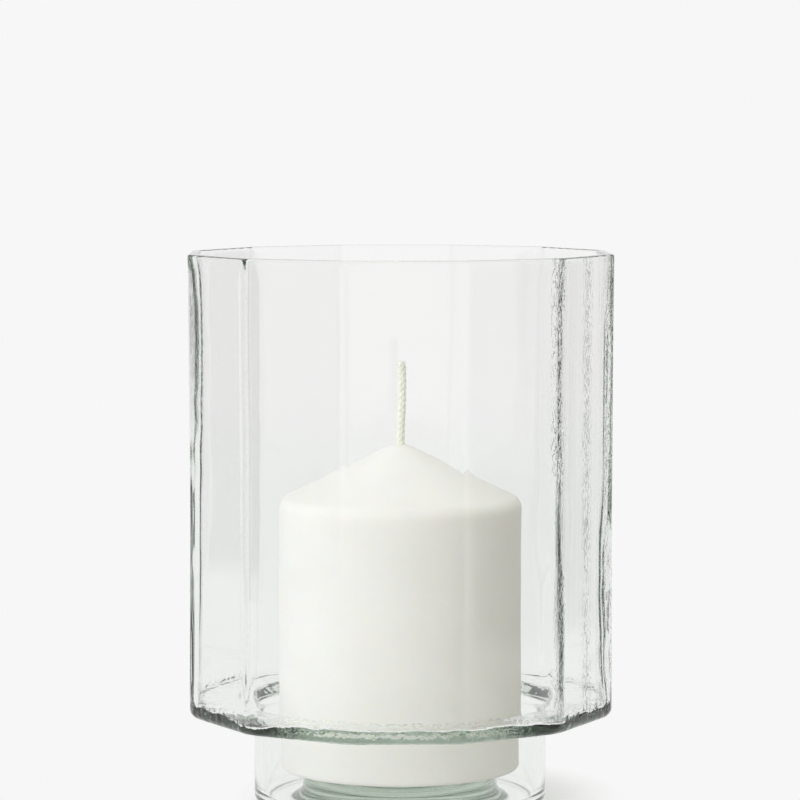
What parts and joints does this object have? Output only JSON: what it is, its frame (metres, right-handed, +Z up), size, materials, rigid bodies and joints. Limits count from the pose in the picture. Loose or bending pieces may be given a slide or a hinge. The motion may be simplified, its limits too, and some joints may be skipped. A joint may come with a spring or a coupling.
{
  "type": "hurricane candle lantern",
  "caption": "Clear faceted glass hurricane with a flat shoulder over a round cup foot, which holds a white pillar candle that lifts out through the open top.",
  "frame": {"origin": "middle of the foot, on the surface that the glass stands on", "axes": "+Z up along the axis of the glass and the candle, -Y towards the front, square to one of the chamber's flats"},
  "size_m": [0.14, 0.14, 0.185],
  "materials": {
    "clear_glass": "clear blown glass with a faint green tint in its edges and a fire-polished rim",
    "white_wax": "smooth white paraffin wax with a soft sheen",
    "cotton": "braided cotton primed with wax, not yet burnt",
    "tinplate": "bright tinned steel"
  },
  "bodies": {
    "glass": {"glass_hurricane": "clear_glass"},
    "candle": {"candle_wax": "white_wax", "wick": "cotton", "wick_sustainer": "tinplate"}
  },
  "joints": [
    {"name": "candle_lift", "type": "slide", "parent": "glass", "child": "candle", "axis": [0, 0, 1], "range_m": [0, 0.18]}
  ]
}
